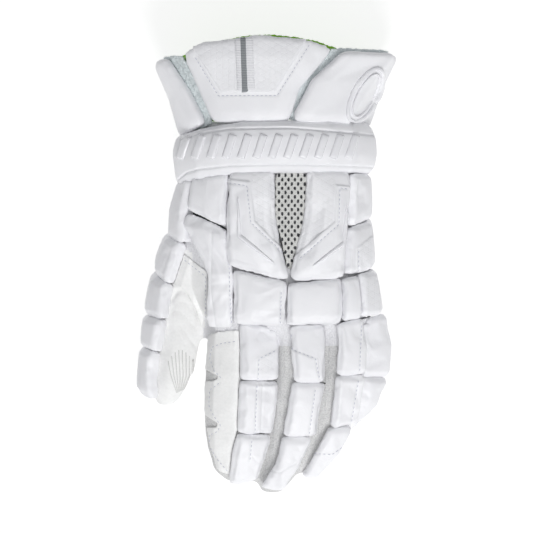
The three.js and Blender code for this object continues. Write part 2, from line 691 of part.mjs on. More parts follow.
const LITTLE_WING_FLEECE = [
  [[0.062, -0.01], [0.6, -0.1]],
  [[0.088, 0.3], [0.62, 0.3]],
  [[0.153, 0.6], [0.62, 0.6]],
  [[0.205, 0.815], [0.6, 0.8]],
];
const BADGE_OVAL = [
  [[0.315, 0.06], [0.43, 0.06]],
  [[0.35, 0.67], [0.475, 0.67]],
];

// The stitched panels on the two back pads, and the slim raised accents on them.
const OVERLAYS = {
  overlay_thumb: [
    [[-0.2, 0.25], [-0.105, 0.262]],
    [[-0.2, 0.455], [-0.083, 0.462]],
    [[-0.2, 0.63], [0.045, 0.595]],
    [[-0.2, 0.645], [0.045, 0.705]],
  ],
  overlay_little: [
    [[0.285, 0.25], [0.338, 0.25]],
    [[0.28, 0.482], [0.34, 0.47]],
    [[0.11, 0.61], [0.33, 0.64]],
    [[0.078, 0.715], [0.308, 0.695]],
  ],
};
const ACCENTS = {
  accent_thumb: [
    [[-0.174, 0.34], [-0.166, 0.34]],
    [[-0.174, 0.53], [-0.143, 0.505]],
    [[-0.006, 0.648], [0, 0.636]],
  ],
  accent_little: [
    [[0.326, 0.37], [0.334, 0.37]],
    [[0.303, 0.535], [0.336, 0.56]],
    [[0.178, 0.645], [0.184, 0.657]],
  ],
};

// The suede panel along the index finger, with its notches, and the corners of the patch at the thumb's
// root as shares of the hand's width and length.
const INDEX_PANEL = [
  [[-0.45, 0.1], [0, 0.06]],
  [[-0.48, 0.45], [0, 0.45]],
  [[-0.46, 0.72], [-0.04, 0.68]],
  [[-0.34, 0.9], [-0.19, 0.93]],
];
const INDEX_NOTCHES = [0.362, 0.622];
const PATCH_CORNERS = [
  [-0.56, 0.587],
  [-0.385, 0.69],
  [-0.38, 0.94],
  [-0.413, 0.975],
  [-0.46, 0.862],
  [-0.508, 0.794],
  [-0.549, 0.761],
  [-0.602, 0.775],
];

function addPad(name, pad, color = WHITE, roughness = 0.5) {
  addPiece(name, fit(padSolid(pad)), color, roughness);
  inPlace.push(padSolid(pad, SEAM));
}

// A thin panel that follows the top of a pad inside an outline, at a height above the pad's own skin.
function panelOnPad(pad, rows, height, layer, options = {}) {
  const base = (pad.base ?? 0) + pad.thickness * 0.75;
  const thickness = pad.thickness + 12;
  const outline = padSolid({ ...options, limb: pad.limb, rows, base, sink: 0, thickness, gap: 0, edge: 1 });
  const panel = outline.intersect(padSolid(pad, height + layer)).subtract(padSolid(pad, height));
  return largestPart(panel);
}

function addHandPads() {
  for (const [name, rows] of Object.entries(SIDE_PADS)) {
    addPad(name, { limb: hand, rows, thickness: SIDE_PAD });
  }
  for (const [name, rows] of Object.entries(BACK_PADS)) {
    addPad(name, { limb: hand, rows, thickness: HAND_PAD, cells: [4, 6] });
  }
  for (const side of ["thumb", "little"]) {
    const pad = { limb: hand, rows: BACK_PADS["back_pad_" + side], thickness: HAND_PAD, cells: [4, 6] };
    const form = { cells: [2, 4], corner: 20 };
    const overlay = panelOnPad(pad, OVERLAYS["overlay_" + side], SEAM, OVERLAY, form);
    addPiece("overlay_" + side, fitAbove(overlay), WHITE, 0.55);
    const raised = 2 * SEAM + OVERLAY;
    const accent = panelOnPad(pad, ACCENTS["accent_" + side], raised, OVERLAY, form);
    addPiece("accent_" + side, fitAbove(accent), WHITE, 0.4);
  }
  addPad("mesh_window", { limb: hand, rows: MESH_WINDOW, thickness: MESH, edge: 0.8 }, GREY_KNIT);
}

// A panel on a pad is cut back only to the band, since it lies above everything else.
function fitAbove(solid) {
  return largestPart(solid.subtract(bandSolid(SEAM)));
}

function addFingerPads() {
  for (const [name, segments] of Object.entries(FINGER_PADS)) {
    segments.forEach((rows, i) => {
      addPad(name + "_pad_" + (i + 1), { limb: fingers[name], rows, thickness: FINGER_PAD, cells: [3, 4] });
    });
  }
  for (const [name, rows] of Object.entries(THUMB_PADS)) {
    addPad(name, { limb: thumb, rows, thickness: THUMB_PAD, cells: [4, 3] });
  }
}

function addIndexPanel() {
  const limb = fingers.index;
  const form = { limb, thickness: 8 * OVERLAY, gap: 0, edge: 1, corner: 20, cells: [4, 4] };
  const cut = (rows) => padSolid({ ...form, rows });
  const notches = INDEX_NOTCHES.map((at) =>
    cut([[[-0.7, at - 0.06], [-0.27, at - 0.012]], [[-0.7, at + 0.06], [-0.27, at + 0.012]]]),
  );
  const shell = limbSolid(limb, FINGER_FACETS, 0, 1, SEAM + OVERLAY, FINGER_RINGS);
  const panel = notches.reduce((left, notch) => left.subtract(notch), cut(INDEX_PANEL).intersect(shell));
  addPiece("index_side_panel", fit(panel.intersect(slab(0, TALL))), SUEDE, 0.9);
}

// The patch drapes over the hand and the root of the thumb, so it is cut from both of their skins.
function addThumbPatch() {
  const layer = SEAM + OVERLAY;
  const corners = PATCH_CORNERS.map(([x, y]) => new THREE.Vector2(x * HAND_WIDTH, -y * HAND_LENGTH));
  const outline = new THREE.Shape(corners);
  const prism = toSolid(new THREE.ExtrudeGeometry(outline, { depth: TALL, bevelEnabled: false }));
  const skins = limbSolid(hand, HAND_FACETS, 0, 1, layer, HAND_RINGS).add(
    limbSolid(thumb, FINGER_FACETS, 0, 1, layer, FINGER_RINGS),
  );
  const patch = prism.intersect(skins).intersect(slab(SIDE_SEAM_HEIGHT * 0.6, TALL));
  addPiece("thumb_patch", fit(patch), SUEDE, 0.9);
}

function addCuff() {
  const center = {
    limb: cuff,
    rows: CUFF_CENTER,
    thickness: CUFF_PAD,
    cells: [6, 6],
    bow: 0.13,
    corner: 12,
  };
  addPad("cuff_center_pad", center);
  const inset = panelOnPad(center, CUFF_INSET, SEAM, OVERLAY, { bow: 0.08, corner: 20 });
  addPiece("cuff_inset_panel", inset, WHITE, 0.6);
  const tape = panelOnPad(center, CUFF_TAPE, 2 * SEAM + OVERLAY, OVERLAY / 2, { corner: 20 });
  addPiece("cuff_tape", tape, WHITE, 0.7);
  const stripe = panelOnPad(center, CUFF_STRIPE, 3 * SEAM + 1.5 * OVERLAY, OVERLAY / 2, { corner: 20 });
  addPiece("cuff_stripe", stripe, DARK_GREY, 0.8);
  const onLining = { limb: cuff, sink: 0, arched: true };
  const fleece = { ...onLining, thickness: FLEECE, edge: 1, gap: 0, base: 2.5 * SEAM, cells: [8, 4] };
  addPad("thumb_wing_fleece", { ...fleece, rows: THUMB_WING_FLEECE }, GREY_KNIT);
  addPad("little_wing_fleece", { ...fleece, rows: LITTLE_WING_FLEECE }, GREY_KNIT);
  const wing = { ...onLining, thickness: WING_PAD, base: FLEECE + 5 * SEAM, cells: [6, 4] };
  addPad("thumb_wing", { ...wing, rows: THUMB_WING });
  addPad("little_wing", { ...wing, rows: LITTLE_WING });
  const round = { corner: 2, cells: [6, 6] };
  const badge = panelOnPad({ ...wing, rows: LITTLE_WING }, BADGE_OVAL, SEAM, BADGE, round);
  addPiece("wing_badge", badge, WHITE, 0.35);
}

addSleeves();
addBand();
addLining();
addHandPads();
addFingerPads();
addCuff();
addThumbPatch();
addIndexPanel();

// The origin lies under the middle of the whole glove.
const bounds = new THREE.Box3().setFromObject(glove);
const centre = bounds.getCenter(new THREE.Vector3());
for (const piece of glove.children) piece.geometry.translate(-centre.x, -centre.y, -bounds.min.z);

export default glove;
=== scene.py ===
import math

import bmesh
import bpy
import numpy as np
from mathutils import Matrix, Vector, noise
from mathutils.bvhtree import BVHTree
from mathutils.kdtree import KDTree


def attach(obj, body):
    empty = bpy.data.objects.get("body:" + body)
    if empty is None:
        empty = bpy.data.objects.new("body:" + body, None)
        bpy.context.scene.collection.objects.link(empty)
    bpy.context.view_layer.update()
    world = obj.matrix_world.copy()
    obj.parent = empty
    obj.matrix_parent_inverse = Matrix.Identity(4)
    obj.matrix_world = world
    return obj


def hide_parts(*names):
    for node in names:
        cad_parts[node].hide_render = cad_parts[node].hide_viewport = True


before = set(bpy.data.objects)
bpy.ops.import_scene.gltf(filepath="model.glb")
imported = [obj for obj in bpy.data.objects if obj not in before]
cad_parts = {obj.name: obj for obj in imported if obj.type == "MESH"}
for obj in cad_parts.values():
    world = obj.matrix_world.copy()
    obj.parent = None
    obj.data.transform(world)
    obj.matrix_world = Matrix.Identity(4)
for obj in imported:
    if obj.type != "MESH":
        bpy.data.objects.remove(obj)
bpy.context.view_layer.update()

# Sizes in metres
MM = 0.001
SKIN_VOXEL = 1.6 * MM
SKIN_CLOSING = 1.2 * MM  # holes up to about twice this are closed
PAD_VOXEL = 1.4 * MM
PAD_GROWTH = 0.75 * MM  # foam fills its seams
THIN_VOXEL = 0.75 * MM
SEWN_GAP = 1.5 * MM  # a pad is sewn down where it lies this near to the skin
SEWN_FADE = 2.5 * MM  # and is free this much further off
SWELL_CAP = 1.8 * MM
SWELL_FRAMES = 20
PANEL_EDGE = 0.9 * MM
STITCH_PITCH = 3.1 * MM
STITCH_LENGTH = 2.2 * MM
THREAD_WIDTH = 0.6 * MM
SKY = 0.2  # height from which things are dropped onto the glove

# The flat drawing of the back of the glove: x runs to the little finger's side and y to the fingertips.
DRAWING_STEP = 0.72 * MM
DRAWING_MIDDLE = (266.5, 266.7)
DRAWING_SIZE = 533  # steps on each side


def on_drawing(points):
    """Points of the flat drawing as an array of x and y in metres."""
    flat = np.array(points, float) - DRAWING_MIDDLE
    return flat * (DRAWING_STEP, -DRAWING_STEP)


# Meshes


def new_piece(name, bm):
    """Makes an object of a bmesh, and frees the bmesh."""
    mesh = bpy.data.meshes.new(name)
    bm.to_mesh(mesh)
    bm.free()
    piece = bpy.data.objects.new(name, mesh)
    bpy.context.scene.collection.objects.link(piece)
    return piece


def copy_of(*nodes):
    """A bmesh of frame nodes, with their doubles merged."""
    bm = bmesh.new()
    for name in nodes:
        bm.from_mesh(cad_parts[name].data)
    bmesh.ops.remove_doubles(bm, verts=bm.verts, dist=0.001 * MM)
    return bm


def apply_modifier(piece, kind, **settings):
    """Adds a modifier with its settings, and applies it."""
    made = piece.modifiers.new(kind.lower(), kind)
    for name, value in settings.items():
        setattr(made, name, value)
    bpy.context.view_layer.objects.active = piece
    bpy.ops.object.modifier_apply(modifier=made.name)


def remeshed(name, nodes, voxel, rounds):
    """A smooth even skin over frame nodes."""
    piece = new_piece(name, copy_of(*nodes))
    apply_modifier(piece, "REMESH", mode="VOXEL", voxel_size=voxel, use_smooth_shade=True)
    apply_modifier(piece, "SMOOTH", factor=0.5, iterations=rounds)
    return piece


def places(piece):
    """The vertices of a piece as an array."""
    flat = np.empty(len(piece.data.vertices) * 3)
    piece.data.vertices.foreach_get("co", flat)
    return flat.reshape(-1, 3)


def normals(piece):
    """The vertex normals of a piece as an array."""
    flat = np.empty(len(piece.data.vertices) * 3)
    piece.data.vertex_normals.foreach_get("vector", flat)
    return flat.reshape(-1, 3)


def move_to(piece, points):
    piece.data.vertices.foreach_set("co", points.ravel())
    piece.data.update()


def shade_smooth(bm):
    for face in bm.faces:
        face.smooth = True


def tree_of(*pieces):
    """A search tree over several pieces."""
    bm = bmesh.new()
    for piece in pieces:
        bm.from_mesh(piece.data)
    tree = BVHTree.FromBMesh(bm)
    bm.free()
    return tree


def drop(tree, x, y):
    """Where a thing dropped onto the glove lands, and the normal there."""
    place, normal, _, _ = tree.ray_cast(Vector((x, y, SKY)), Vector((0, 0, -1)))
    return place, normal


def finish_piece(piece, material, replaced=()):
    """Gives a piece its material and its place on the frame."""
    if material:
        piece.data.materials.append(material)
    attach(piece, "root")
    if replaced:
        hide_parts(*replaced)
    return piece


# Distances in the flat drawing


def line_distance(points, line):
    """How far each point lies from an open line."""
    best = np.full(len(points), np.inf)
    for a, b in zip(line[:-1], line[1:]):
        along = b - a
        share = np.clip(((points - a) @ along) / (along @ along), 0, 1)
        best = np.minimum(best, np.linalg.norm(points - a - share[:, None] * along, axis=1))
    return best


def inner_depth(points, outline):
    """How far each point lies inside a closed outline, negative outside."""
    inside = np.zeros(len(points), bool)
    for a, b in zip(outline, np.roll(outline, -1, axis=0)):
        spans = (a[1] > points[:, 1]) != (b[1] > points[:, 1])
        rise = b[1] - a[1] if b[1] != a[1] else 1
        crossing = a[0] + (points[:, 1] - a[1]) * (b[0] - a[0]) / rise
        inside ^= spans & (points[:, 0] < crossing)
    distance = line_distance(points, np.vstack([outline, outline[:1]]))
    return np.where(inside, distance, -distance)


def smooth_step(values):
    """Shares from 0 to 1 that ease in and out."""
    share = np.clip(values, 0, 1)
    return share * share * (3 - 2 * share)


def facing_up(piece):
    """How much each vertex belongs to the top of a piece, from 0 to 1."""
    return smooth_step((normals(piece)[:, 2] - 0.1) / 0.35)


def press_line(piece, line, width, depth):
    """Presses a groove into the top of a piece along a line of the drawing."""
    points = places(piece)
    share = 1 - smooth_step(line_distance(points[:, :2], on_drawing(line)) / width)
    move_to(piece, points - normals(piece) * (share * facing_up(piece) * depth)[:, None])


def raise_panel(piece, outline, height):
    """Raises the top of a piece inside an outline of the drawing."""
    points = places(piece)
    share = smooth_step(inner_depth(points[:, :2], on_drawing(outline)) / PANEL_EDGE + 0.5)
    move_to(piece, points + normals(piece) * (share * facing_up(piece) * height)[:, None])


def oval(middle, half_width, half_length, tilt, count=40):
    """A closed oval of the drawing, tilted by an angle in degrees."""
    angles = np.linspace(0, 2 * math.pi, count + 1)
    across, along = half_width * np.cos(angles), half_length * np.sin(angles)
    turn = math.radians(tilt)
    x = across * math.cos(turn) + along * math.sin(turn)
    y = across * math.sin(turn) - along * math.cos(turn)
    return [(middle[0] + u, middle[1] + v) for u, v in zip(x, y)]


def finish_area(piece, outline, material):
    """Gives the faces inside an outline of the drawing another finish."""
    count = len(piece.data.polygons)
    middles, away = np.empty(count * 3), np.empty(count * 3)
    piece.data.polygons.foreach_get("center", middles)
    piece.data.polygons.foreach_get("normal", away)
    inside = inner_depth(middles.reshape(-1, 3)[:, :2], on_drawing(outline)) > 0
    inside &= away.reshape(-1, 3)[:, 2] > 0.1
    piece.data.materials.append(material)
    index = np.empty(count, np.int32)
    piece.data.polygons.foreach_get("material_index", index)
    index[inside] = len(piece.data.materials) - 1
    piece.data.polygons.foreach_set("material_index", index)


def nap(piece, count, length, slot, material):
    """Stands loose fibres on a brushed cloth. Each is a slim triangle."""
    chance = np.random.RandomState(7)
    faces = piece.data.polygons
    bm = bmesh.new()
    for number in chance.randint(0, len(faces), count):
        middle, away = Vector(faces[number].center), Vector(faces[number].normal)
        lean = Vector(chance.normal(size=3)) * 0.7
        tip = middle + (away + lean).normalized() * length * chance.uniform(0.5, 1.1)
        side = away.cross(lean).normalized() * 0.14 * MM
        bm.faces.new([bm.verts.new(p) for p in (middle - side, middle + side, tip)])
    finish_piece(new_piece(piece.name + "_nap", bm), material)


def crumple(piece, size, depth, seed=0):
    """Gives a piece soft folds of a size, as worn-in leather has."""
    points = places(piece)
    away = normals(piece)
    offset = Vector((seed * 1.7, seed * 2.3, seed * 0.9))
    lift = [noise.noise(Vector(p / size) + offset) for p in points]
    move_to(piece, points + away * (np.array(lift) * depth)[:, None])


# Materials

# Spacing of a wave texture's bands at scale 1, and a slightly wider one for yarn
WAVE_PITCH = 0.314
YARN_PITCH = 0.32


def linear(hex_colour):
    """A colour written as sRGB hex, as linear values."""
    parts = [int(hex_colour[i : i + 2], 16) / 255 for i in (1, 3, 5)]
    return [p / 12.92 if p <= 0.04045 else ((p + 0.055) / 1.055) ** 2.4 for p in parts] + [1]


def add(material, kind, values=None, links=None, **settings):
    """Adds a shader node with its settings, values and links."""
    made = material.node_tree.nodes.new("ShaderNode" + kind)
    for name, value in settings.items():
        setattr(made, name, value)
    for name, value in (values or {}).items():
        made.inputs[name].default_value = value
    for name, source in (links or {}).items():
        material.node_tree.links.new(source, made.inputs[name])
    return made


def new_material(name):
    """A material with an empty surface, its coordinates and its shader."""
    material = bpy.data.materials.new(name)
    material.use_nodes = True
    material.node_tree.nodes.clear()
    surface = add(material, "BsdfPrincipled")
    add(material, "OutputMaterial", links={"Surface": surface.outputs["BSDF"]})
    place = add(material, "TexCoord").outputs["Object"]
    return material, surface, place


def tint(material, surface, share, first, second):
    """Colours a surface between two shades."""
    blend = add(material, "Mix", None, {"Factor": share}, data_type="RGBA")
    blend.inputs[6].default_value = linear(first)
    blend.inputs[7].default_value = linear(second)
    material.node_tree.links.new(blend.outputs[2], surface.inputs["Base Color"])


def mottle(material, surface, place, dark, light, size):
    """Lets the colour drift a little over a size in metres."""
    drift = add(material, "TexNoise", {"Scale": 1 / size, "Detail": 3.0}, {"Vector": place})
    tint(material, surface, drift.outputs["Fac"], dark, light)


def bump(material, height, distance, before=None):
    """Raises a surface by a height from 0 to 1 times a distance, on top of an earlier bump."""
    links = {"Height": height}
    if before:
        links["Normal"] = before
    made = add(material, "Bump", {"Distance": distance, "Strength": 1.0}, links)
    return made.outputs["Normal"]


def hex_lines(material, place, pitch):
    """Three sets of lines that cross in triangles, a pitch in metres apart."""
    lines = []
    for turn in (0, 60, 120):
        turned = add(material, "Mapping", {"Rotation": (0, 0, math.radians(turn))}, {"Vector": place})
        wave = add(material, "TexWave", {"Scale": WAVE_PITCH / pitch}, {"Vector": turned.outputs[0]})
        lines.append(wave.outputs["Fac"])
    pair = add(material, "Math", None, {0: lines[0], 1: lines[1]}, operation="MAXIMUM")
    whole = add(material, "Math", None, {0: pair.outputs[0], 1: lines[2]}, operation="MAXIMUM")
    return add(material, "Math", {1: 14.0}, {0: whole.outputs[0]}, operation="POWER").outputs[0]


def coated_leather(name, embossed=False):
    """Polyurethane coated leather, pressed with a fine grain. It is smooth, with a soft even shine."""
    material, surface, place = new_material(name)
    mottle(material, surface, place, "#F2F2F5", "#FBFBFD", 22 * MM)
    surface.inputs["Roughness"].default_value = 0.46
    surface.inputs["Specular IOR Level"].default_value = 0.45
    grain = add(material, "TexVoronoi", {"Scale": 1 / (1.3 * MM)}, {"Vector": place}, feature="SMOOTH_F1")
    dents = add(material, "TexNoise", {"Scale": 1 / (7 * MM), "Detail": 2.0}, {"Vector": place})
    fine = bump(material, grain.outputs["Distance"], 0.05 * MM)
    soft = bump(material, dents.outputs["Fac"], 0.3 * MM, fine)
    if embossed:
        soft = bump(material, hex_lines(material, place, 4.2 * MM), -0.13 * MM, soft)
    material.node_tree.links.new(soft, surface.inputs["Normal"])
    return material


def suede(name, dark, light):
    """Split leather, brushed. It is matt, with a short nap that catches light at its edges."""
    material, surface, place = new_material(name)
    mottle(material, surface, place, dark, light, 1.8 * MM)
    surface.inputs["Roughness"].default_value = 0.85
    surface.inputs["Sheen Weight"].default_value = 0.25
    surface.inputs["Sheen Roughness"].default_value = 0.5
    nap = add(material, "TexNoise", {"Scale": 1 / (0.9 * MM), "Detail": 4.0}, {"Vector": place})
    folds = add(material, "TexNoise", {"Scale": 1 / (9 * MM), "Detail": 2.0}, {"Vector": place})
    fine = bump(material, nap.outputs["Fac"], 0.2 * MM)
    soft = bump(material, folds.outputs["Fac"], 0.7 * MM, fine)
    material.node_tree.links.new(soft, surface.inputs["Normal"])
    return material


def knit(name, dark, light, pitch):
    """Polyester yarn, warp knitted. It is matt, in rows of small loops."""
    material, surface, place = new_material(name)
    loops = add(material, "TexVoronoi", {"Scale": 1 / pitch}, {"Vector": place})
    rows = add(
        material,
        "TexWave",
        {"Scale": YARN_PITCH / pitch, "Distortion": 1.2, "Detail": 1.0},
        {"Vector": place},
        bands_direction="X",
    )
    tint(material, surface, loops.outputs["Distance"], light, dark)
    surface.inputs["Roughness"].default_value = 0.8
    surface.inputs["Sheen Weight"].default_value = 0.15
    fine = bump(material, loops.outputs["Distance"], -0.25 * MM)
    ribs = bump(material, rows.outputs["Fac"], 0.15 * MM, fine)
    material.node_tree.links.new(ribs, surface.inputs["Normal"])
    return material


def fleece(name, dark, light):
    """Polyester fleece, brushed. It is matt and deep, with a loose uneven nap."""
    material, surface, place = new_material(name)
    mottle(material, surface, place, dark, light, 3 * MM)
    surface.inputs["Roughness"].default_value = 0.95
    surface.inputs["Sheen Weight"].default_value = 0.4
    nap = add(material, "TexNoise", {"Scale": 1 / (1.6 * MM), "Detail": 5.0}, {"Vector": place})
    soft = bump(material, nap.outputs["Fac"], 0.6 * MM)
    material.node_tree.links.new(soft, surface.inputs["Normal"])
    return material


def tape(name, dark, light):
    """Polyester yarn, woven as ribbed tape. Its ribs run across it."""
    material, surface, place = new_material(name)
    scale = YARN_PITCH / (1.2 * MM)
    ribs = add(material, "TexWave", {"Scale": scale}, {"Vector": place}, bands_direction="Y")
    tint(material, surface, ribs.outputs["Fac"], dark, light)
    surface.inputs["Roughness"].default_value = 0.6
    raised = bump(material, ribs.outputs["Fac"], 0.2 * MM)
    material.node_tree.links.new(raised, surface.inputs["Normal"])
    return material


def thread():
    """Bonded polyester thread, twisted. It has a slight shine. Its grey-blue colour is painted shade, for
    the shadow it lies in at its needle holes.
    """
    material, surface, place = new_material("bonded_thread_twisted")
    mottle(material, surface, place, "#BFC1CE", "#DADBE4", 2 * MM)
    surface.inputs["Roughness"].default_value = 0.5
    return material


def moulded_rubber():
    """Thermoplastic rubber, moulded. It is smooth, with a clear satin shine."""
    material, surface, place = new_material("moulded_rubber_satin")
    mottle(material, surface, place, "#EFEFF3", "#FAFAFC", 9 * MM)
    surface.inputs["Roughness"].default_value = 0.24
    brushed = add(material, "TexNoise", {"Scale": 1 / (1.1 * MM), "Detail": 3.0}, {"Vector": place})
    fine = bump(material, brushed.outputs["Fac"], 0.05 * MM)
    material.node_tree.links.new(fine, surface.inputs["Normal"])
    return material


LEATHER = coated_leather("coated_leather_fine_grain")
EMBOSSED = coated_leather("coated_leather_embossed", embossed=True)
SUEDE = suede("split_leather_brushed", "#EEEEED", "#FDFDFC")
LINING = knit("lining_tricot_knitted", "#E0E0E3", "#F2F2F4", 1.2 * MM)
LIME = fleece("lime_lining_brushed", "#78B41E", "#93CC3A")
KNIT = knit("gusset_yarn_knitted", "#C8C8C8", "#EDEDEC", 1.0 * MM)
FLEECE = fleece("edge_fleece_brushed", "#D2DBDC", "#EAF0F1")
PRINT = tape("grip_print_silicone", "#D6D6D4", "#E2E2E0")
TAPE = tape("tape_yarn_woven", "#E8E8EC", "#FCFCFE")
STRIPE = tape("stripe_yarn_woven", "#7D8184", "#A0A4A7")
THREAD = thread()
RUBBER = moulded_rubber()
# Painted shade: a dark knit laid where shadow falls, in the gaps and creases between the pads and under the
# holes of the window's net.
SHADE = knit("painted_shade_knitted", "#3A3B3E", "#5A5B5F", 1.2 * MM)
NET = knit("spacer_net_knitted", "#C9C9C6", "#EDEDEA", 0.9 * MM)


# The skin of the glove: palm, back and sleeves are sewn to one another, so they are one surface.
SKIN_NODES = {
    "palm_leather": SUEDE,
    "back_lining": LINING,
    "thumb_sleeve": SUEDE,
    "index_sleeve": KNIT,
    "middle_sleeve": KNIT,
    "ring_sleeve": KNIT,
    "little_sleeve": KNIT,
}

# The fingers are plain cloth above this line, and knitted below it.
YOKE_EDGE = on_drawing((0, 346))[1]
# The web lies between these spots on the thumb and on the hand.
WEB_SIDES = [(198, 324), (211, 328)]
WEB_SIZE = (5 * MM, 8.5 * MM, 6 * MM)


def add_web(bm):
    """Adds the web of leather between the thumb and the hand, as a ball drawn out along the gap."""
    tree = BVHTree.FromBMesh(bm)
    sides = [drop(tree, *on_drawing(spot))[0].z for spot in WEB_SIDES]
    x, y = np.mean(on_drawing(WEB_SIDES), axis=0)
    place = Matrix.Translation((x, y, min(sides) - WEB_SIZE[2]))
    bmesh.ops.create_icosphere(bm, subdivisions=3, radius=1, matrix=place @ Matrix.Diagonal((*WEB_SIZE, 1)))


def make_skin():
    """The skin, with its vertices before and after it is smoothed and worn in."""
    bm = copy_of(*SKIN_NODES)
    add_web(bm)
    skin = new_piece("glove_skin", bm)
    apply_modifier(skin, "REMESH", mode="VOXEL", voxel_size=SKIN_VOXEL, use_smooth_shade=True)
    # Swelling it, making it again and shrinking it back closes small holes.
    apply_modifier(skin, "DISPLACE", strength=SKIN_CLOSING, mid_level=0)
    apply_modifier(skin, "REMESH", mode="VOXEL", voxel_size=SKIN_VOXEL, use_smooth_shade=True)
    apply_modifier(skin, "DISPLACE", strength=-SKIN_CLOSING, mid_level=0)
    before = places(skin)
    apply_modifier(skin, "SMOOTH", factor=0.5, iterations=22)
    crumple(skin, 12 * MM, 0.9 * MM, seed=3)
    finishes = [SUEDE, LINING, KNIT]
    for finish in finishes:
        skin.data.materials.append(finish)
    trees = {name: tree_of(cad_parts[name]) for name in SKIN_NODES}
    for face in skin.data.polygons:
        middle = Vector(face.center)
        nearest = min(trees, key=lambda name: trees[name].find_nearest(middle)[3])
        finish = SKIN_NODES[nearest]
        if finish == KNIT and middle.y > YOKE_EDGE:
            finish = LINING
        face.material_index = finishes.index(finish)
    finish_piece(skin, None, SKIN_NODES)
    return skin, before, places(skin) - before


# Padded pieces, with the nodes that each also stands for
PADS = {
    "cuff_center_pad": ["cuff_inset_panel"],
    "thumb_wing": [],
    "little_wing": [],
    "wrist_band": [],
    "back_pad_thumb": ["overlay_thumb", "accent_thumb"],
    "back_pad_little": ["overlay_little", "accent_little"],
    "thumb_side_pad_upper": [],
    "thumb_side_pad_lower": [],
    "thumb_wall_pad": [],
    "little_side_pad_upper": [],
    "little_side_pad_lower": [],
    "knuckle_pad_thumb": [],
    "knuckle_pad_little": [],
    "knuckle_pad_small": [],
    "knuckle_side_pad": [],
    "index_pad_1": [],
    "index_pad_2": [],
    "index_pad_3": [],
    "middle_pad_1": [],
    "middle_pad_2": [],
    "middle_pad_3": [],
    "ring_pad_1": [],
    "ring_pad_2": [],
    "ring_pad_3": [],
    "little_pad_1": [],
    "little_pad_2": [],
    "thumb_pad_1": [],
    "thumb_pad_2": [],
    "thumb_pad_3": [],
    "thumb_tip_pad": [],
}


# The firmer pieces swell less, and stay smoother.
SWELL_SHARES = {
    "cuff_center_pad_cover": 0.25,
    "thumb_wing_cover": 0.2,
    "little_wing_cover": 0.2,
    "wrist_band_cover": 0.3,
}


def swell(pads):
    """Blows the pads up a little by a cloth simulation, held where they are sewn down."""
    before = {pad.name: places(pad) for pad in pads}
    for pad in pads:
        cloth = pad.modifiers.new("cloth", "CLOTH")
        cloth.settings.quality = 4
        cloth.settings.mass = 0.3
        cloth.settings.tension_stiffness = 12
        cloth.settings.compression_stiffness = 12
        cloth.settings.shear_stiffness = 5
        cloth.settings.bending_stiffness = 0.4
        cloth.settings.use_pressure = True
        cloth.settings.uniform_pressure_force = 4
        cloth.settings.shrink_min = -0.03
        cloth.settings.vertex_group_mass = "sewn"
        cloth.settings.effector_weights.gravity = 0
        cloth.point_cache.frame_start = 1
        cloth.point_cache.frame_end = SWELL_FRAMES
    for number in range(1, SWELL_FRAMES + 1):
        bpy.context.scene.frame_set(number)
    for pad in pads:
        bpy.context.view_layer.objects.active = pad
        bpy.ops.object.modifier_apply(modifier="cloth")
        moved = places(pad) - before[pad.name]
        size = np.linalg.norm(moved, axis=1)[:, None]
        share = np.minimum(1, SWELL_CAP / np.maximum(size, 1e-9))
        move_to(pad, before[pad.name] + moved * share * SWELL_SHARES.get(pad.name, 1))
    bpy.context.scene.frame_set(1)


def make_pads(skin):
    """Copies each pad, swells it as foam under leather does, and refines it."""
    under = tree_of(skin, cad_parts["cuff_lining"])
    pads = {}
    for name in PADS:
        pad = remeshed(name + "_cover", [name], PAD_VOXEL, 2)
        apply_modifier(pad, "DISPLACE", strength=PAD_GROWTH, mid_level=0)
        sewn = pad.vertex_groups.new(name="sewn")
        for vertex in pad.data.vertices:
            gap = under.find_nearest(vertex.co)[3]
            share = min(max(1 - (gap - SEWN_GAP) / SEWN_FADE, 0), 1)
            sewn.add([vertex.index], share, "REPLACE")
        pads[name] = pad
    swell(pads.values())
    for name, pad in pads.items():
        pad.vertex_groups.clear()
        apply_modifier(pad, "SMOOTH", factor=0.5, iterations=8 if pad.name in SWELL_SHARES else 2)
        apply_modifier(pad, "SUBSURF", levels=1, render_levels=1)
    return pads


skin, skin_before, skin_moves = make_skin()
pads = make_pads(skin)

# Panels that stand up from their pads, as outlines in the drawing with a height
CUFF_INSET = [(194, 50), (222, 94), (274, 94), (308, 40), (255, 30)]
INDEX_PANEL = [(285, 346), (257, 357), (256, 385), (285, 385)]
SIDE_PANEL = [(356, 248), (380, 230), (380, 272), (356, 276)]
KNUCKLE_PANEL = [(357, 270), (385, 262), (390, 316), (361, 322)]
OVERLAY = 1.1 * MM
PANELS = [
    ("cuff_center_pad", CUFF_INSET, 1.4 * MM),
    ("back_pad_thumb", [(222, 179), (250, 183), (255, 222), (290, 257), (290, 290), (222, 290)], OVERLAY),
    ("back_pad_little", [(335, 186), (356, 188), (356, 290), (288, 290), (288, 262), (334, 222)], OVERLAY),
    ("index_pad_1", INDEX_PANEL, 0.7 * MM),
    ("middle_pad_1", [(286, 340), (293, 349), (317, 358), (320, 385), (286, 385)], 0.7 * MM),
    ("little_side_pad_lower", SIDE_PANEL, 0.7 * MM),
    ("knuckle_side_pad", KNUCKLE_PANEL, 0.6 * MM),
]
for name, outline, height in PANELS:
    raise_panel(pads[name], outline, height)

